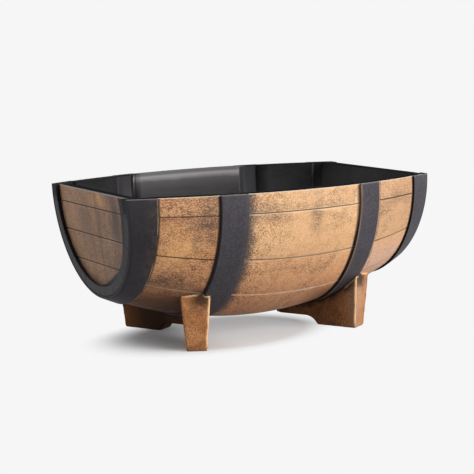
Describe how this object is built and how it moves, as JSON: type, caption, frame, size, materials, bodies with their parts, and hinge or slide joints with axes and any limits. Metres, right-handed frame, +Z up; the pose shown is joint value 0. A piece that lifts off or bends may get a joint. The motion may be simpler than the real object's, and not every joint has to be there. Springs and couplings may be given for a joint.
{
  "type": "half barrel planter",
  "caption": "Planter like a barrel cut lengthwise: bowed wooden staves, dark hoops and boarded ends on splayed bracket feet, with a black tub that lifts out.",
  "frame": {"origin": "on the floor, under the middle of the planter", "axes": "+X along the barrel's length to the right end, +Y to the back, +Z up"},
  "size_m": [0.6, 0.4509, 0.271],
  "materials": {
    "stave_wood": "bronze-brown stained wood, worn pale at the edges",
    "head_wood": "duller grey-brown stained wood",
    "foot_wood": "bronze-brown stained wood, rounded worn edges",
    "hoop_black": "matte charcoal paint",
    "liner_black": "smooth dark charcoal, slight sheen",
    "screw_steel": "zinc-plated"
  },
  "bodies": {
    "shell": {"stave_front_rim": "stave_wood", "stave_front_upper": "stave_wood", "stave_front_side": "stave_wood", "stave_front_lower": "stave_wood", "stave_front_keel": "stave_wood", "stave_back_keel": "stave_wood", "stave_back_lower": "stave_wood", "stave_back_side": "stave_wood", "stave_back_upper": "stave_wood", "stave_back_rim": "stave_wood", "hoop_left_end": "hoop_black", "hoop_left_middle": "hoop_black", "hoop_right_middle": "hoop_black", "hoop_right_end": "hoop_black", "head_left_board_1": "head_wood", "head_left_board_2": "head_wood", "head_left_board_3": "head_wood", "head_left_board_4": "head_wood", "head_right_board_1": "head_wood", "head_right_board_2": "head_wood", "head_right_board_3": "head_wood", "head_right_board_4": "head_wood", "foot_front_left": "foot_wood", "foot_front_right": "foot_wood", "foot_back_left": "foot_wood", "foot_back_right": "foot_wood", "hoop_screws": "screw_steel", "head_screws": "screw_steel", "foot_screws": "screw_steel"},
    "tub": {"liner_middle": "liner_black", "liner_front_left": "liner_black", "liner_back_left": "liner_black", "liner_front_right": "liner_black", "liner_back_right": "liner_black"}
  },
  "joints": [
    {"name": "tub_lift", "type": "slide", "parent": "shell", "child": "tub", "axis": [0, 0, 1], "range_m": [0, 0.24]}
  ]
}
